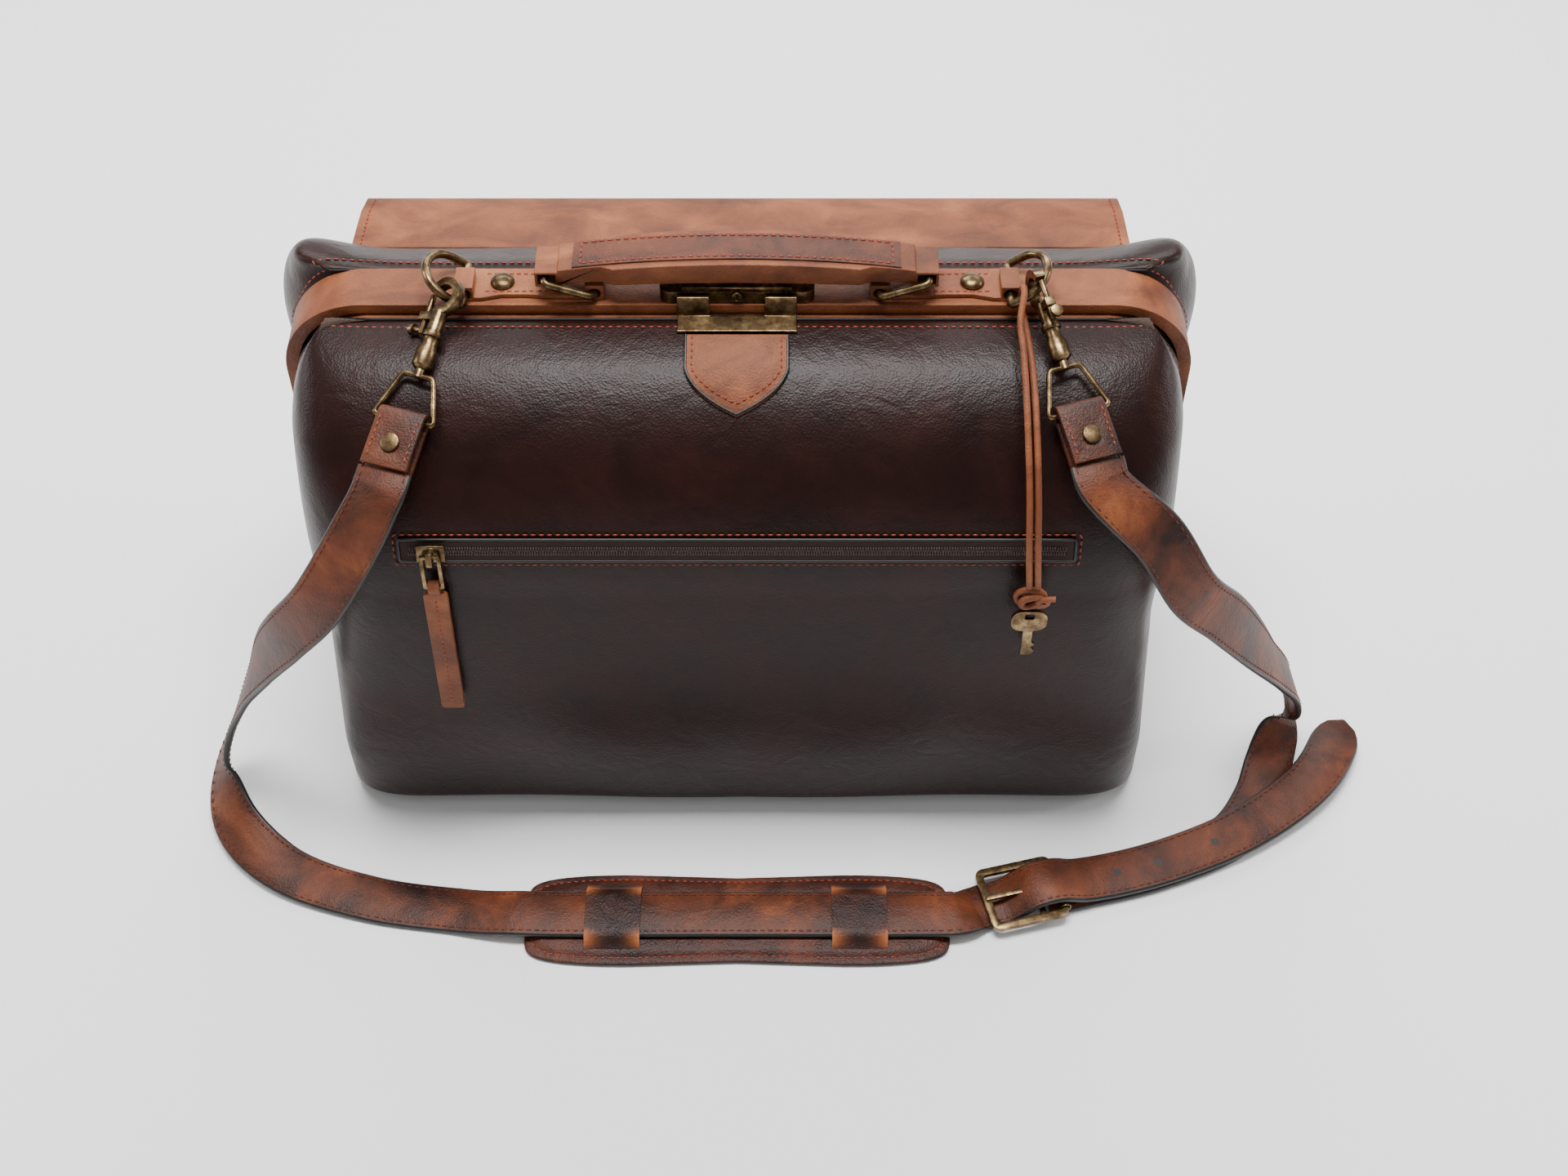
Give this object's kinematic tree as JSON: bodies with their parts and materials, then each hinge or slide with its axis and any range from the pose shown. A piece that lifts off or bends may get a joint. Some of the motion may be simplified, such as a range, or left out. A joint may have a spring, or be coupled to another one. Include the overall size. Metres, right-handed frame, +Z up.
{
  "type": "doctor bag",
  "caption": "Frame-mouth leather doctor bag with a hinged opening, lock, carrying handle, zipped front pocket, rear pocket and a long shoulder strap with pad and buckle.",
  "frame": {"origin": "centre of the base's underside, on the surface the bag stands on", "axes": "+Z up, the front of the bag faces -Y, +X to the right of someone looking at the front"},
  "size_m": [0.664, 0.3438, 0.3215],
  "materials": {
    "dark_leather": "smooth full-grain leather with a soft sheen",
    "tan_leather": "waxed pull-up leather",
    "pad_leather": "waxed pull-up leather, darker",
    "antique_brass": "antique brass, darkened in the hollows",
    "bar_steel": "plain steel",
    "lining_cloth": "cotton twill",
    "zip_tape": "woven tape",
    "board": "pressed fibre board"
  },
  "bodies": {
    "bag": {"body_tub": "dark_leather", "base_board": "board", "lining": "lining_cloth", "side_gusset_left": "dark_leather", "side_gusset_right": "dark_leather", "rear_panel": "dark_leather", "rear_pocket": "dark_leather", "rear_frame_bar": "bar_steel", "rear_frame_cover": "tan_leather", "hinge_pin_left": "antique_brass", "hinge_pin_right": "antique_brass", "lock_case": "antique_brass", "chape_left": "tan_leather", "chape_right": "tan_leather", "chape_rivet_left": "antique_brass", "chape_rivet_right": "antique_brass", "strap_long": "tan_leather", "strap_short": "tan_leather", "strap_pad": "pad_leather", "buckle_frame": "antique_brass", "thong": "tan_leather", "thong_knot": "tan_leather"},
    "front_frame": {"front_frame_bar": "bar_steel", "front_frame_cover": "tan_leather", "hasp_plate": "antique_brass", "shield_tab": "tan_leather"},
    "front_panel": {"front_panel": "dark_leather", "zip_tape": "zip_tape", "zip_coil": "zip_tape"},
    "zip_slider": {"zip_slider": "antique_brass"},
    "zip_ring": {"zip_ring": "antique_brass"},
    "zip_tab": {"zip_tab": "tan_leather"},
    "back_flap": {"back_flap": "tan_leather"},
    "lock_slide": {"lock_slide": "antique_brass"},
    "lock_cylinder": {"lock_cylinder": "bar_steel"},
    "handle": {"handle": "tan_leather"},
    "handle_ring_left": {"handle_ring_left": "antique_brass"},
    "handle_ring_right": {"handle_ring_right": "antique_brass"},
    "d_ring_left": {"d_ring_left": "antique_brass"},
    "d_ring_right": {"d_ring_right": "antique_brass"},
    "buckle_roller": {"buckle_roller": "antique_brass"},
    "buckle_prong": {"buckle_prong": "antique_brass"},
    "key": {"key": "antique_brass"},
    "strap_end_left": {"swivel_eye_left": "antique_brass", "strap_fold_left": "tan_leather", "strap_rivet_left": "antique_brass"},
    "snap_left": {"snap_body_left": "antique_brass"},
    "snap_trigger_left": {"snap_trigger_left": "antique_brass"},
    "strap_end_right": {"swivel_eye_right": "antique_brass", "strap_fold_right": "tan_leather", "strap_rivet_right": "antique_brass"},
    "snap_right": {"snap_body_right": "antique_brass"},
    "snap_trigger_right": {"snap_trigger_right": "antique_brass"}
  },
  "joints": [
    {"name": "frame_open", "type": "hinge", "parent": "bag", "child": "front_frame", "pos_m": [0, 0, 0.19], "axis": [1, 0, 0], "range_deg": [0, 50]},
    {"name": "panel_fold", "type": "hinge", "parent": "bag", "child": "front_panel", "pos_m": [0, 0, 0.19], "axis": [1, 0, 0], "range_deg": [0, 29]},
    {"name": "zip_slide", "type": "slide", "parent": "front_panel", "child": "zip_slider", "axis": [1, 0, 0], "range_m": [0, 0.27]},
    {"name": "zip_ring_hang", "type": "hinge", "parent": "zip_slider", "child": "zip_ring", "pos_m": [-0.15, -0.10662, 0.22158], "axis": [1, 0, 0], "range_deg": [-29, 0]},
    {"name": "zip_pull_swing", "type": "hinge", "parent": "zip_ring", "child": "zip_tab", "pos_m": [-0.15, -0.10837, 0.20156], "axis": [-1, 0, 0], "range_deg": [0, 60]},
    {"name": "flap_lift", "type": "hinge", "parent": "bag", "child": "back_flap", "pos_m": [0, 0.08199, 0.25514], "axis": [1, 0, 0], "range_deg": [0, 110]},
    {"name": "lock_slide_push", "type": "slide", "parent": "bag", "child": "lock_slide", "axis": [-1, 0, 0], "range_m": [0, 0.004], "stiffness_N_per_m": 400},
    {"name": "lock_turn", "type": "hinge", "parent": "bag", "child": "lock_cylinder", "pos_m": [0, -0.006, 0.3007], "axis": [0, 1, 0], "range_deg": [0, 90]},
    {"name": "handle_lift", "type": "slide", "parent": "bag", "child": "handle", "axis": [0, 0, 1], "range_m": [0, 0.0028]},
    {"name": "handle_ring_tilt_left", "type": "hinge", "parent": "bag", "child": "handle_ring_left", "pos_m": [-0.07, 0.0065, 0.3003], "axis": [0, 1, 0], "range_deg": [0, 7.2]},
    {"name": "handle_ring_tilt_right", "type": "hinge", "parent": "bag", "child": "handle_ring_right", "pos_m": [0.07, 0.0065, 0.3003], "axis": [0, -1, 0], "range_deg": [0, 7.2]},
    {"name": "d_ring_swing_left", "type": "hinge", "parent": "bag", "child": "d_ring_left", "pos_m": [-0.134, 0.003, 0.3003], "axis": [0, 1, 0], "range_deg": [0, 4]},
    {"name": "d_ring_swing_right", "type": "hinge", "parent": "bag", "child": "d_ring_right", "pos_m": [0.134, 0.003, 0.3003], "axis": [0, -1, 0], "range_deg": [-2, 0]},
    {"name": "strap_end_lift_left", "type": "hinge", "parent": "bag", "child": "strap_end_left", "pos_m": [-0.14128, -0.01176, 0.30559], "axis": [-1, 0, 0], "range_deg": [0, 9]},
    {"name": "snap_swivel_left", "type": "hinge", "parent": "strap_end_left", "child": "snap_left", "pos_m": [-0.14128, -0.01176, 0.30559], "axis": [0.28, 0.8599, 0.4269], "range_deg": [-6, 1.5]},
    {"name": "snap_trigger_pull_left", "type": "slide", "parent": "snap_left", "child": "snap_trigger_left", "axis": [-0.28, -0.8599, -0.4269], "range_m": [0, 0.005], "stiffness_N_per_m": 300},
    {"name": "strap_end_lift_right", "type": "hinge", "parent": "bag", "child": "strap_end_right", "pos_m": [0.14613, -0.00975, 0.30912], "axis": [-1, 0, 0], "range_deg": [0, 3]},
    {"name": "snap_swivel_right", "type": "hinge", "parent": "strap_end_right", "child": "snap_right", "pos_m": [0.14613, -0.00975, 0.30912], "axis": [-0.28, 0.8599, 0.4269], "range_deg": [-4, 1]},
    {"name": "snap_trigger_pull_right", "type": "slide", "parent": "snap_right", "child": "snap_trigger_right", "axis": [0.28, -0.8599, -0.4269], "range_m": [0, 0.005], "stiffness_N_per_m": 300},
    {"name": "prong_lift", "type": "hinge", "parent": "bag", "child": "buckle_prong", "pos_m": [0.16079, -0.16331, 0.008], "axis": [-0.2419, 0.9703, 0], "range_deg": [0, 80]},
    {"name": "roller_spin", "type": "hinge", "parent": "bag", "child": "buckle_roller", "pos_m": [0.17292, -0.16028, 0.008], "axis": [-0.2419, 0.9703, 0], "continuous": true},
    {"name": "key_swing", "type": "hinge", "parent": "bag", "child": "key", "pos_m": [0.1453, -0.115, 0.1873], "axis": [0, 1, 0], "range_deg": [-12, 12]}
  ],
  "couplings": [
    {"joint": "panel_fold", "follows": "frame_open", "ratio": 0.566},
    {"joint": "zip_ring_hang", "follows": "frame_open", "ratio": -0.566},
    {"joint": "handle_ring_tilt_left", "follows": "handle_lift", "rad_per_m": 43.982},
    {"joint": "handle_ring_tilt_right", "follows": "handle_lift", "rad_per_m": 43.982}
  ]
}
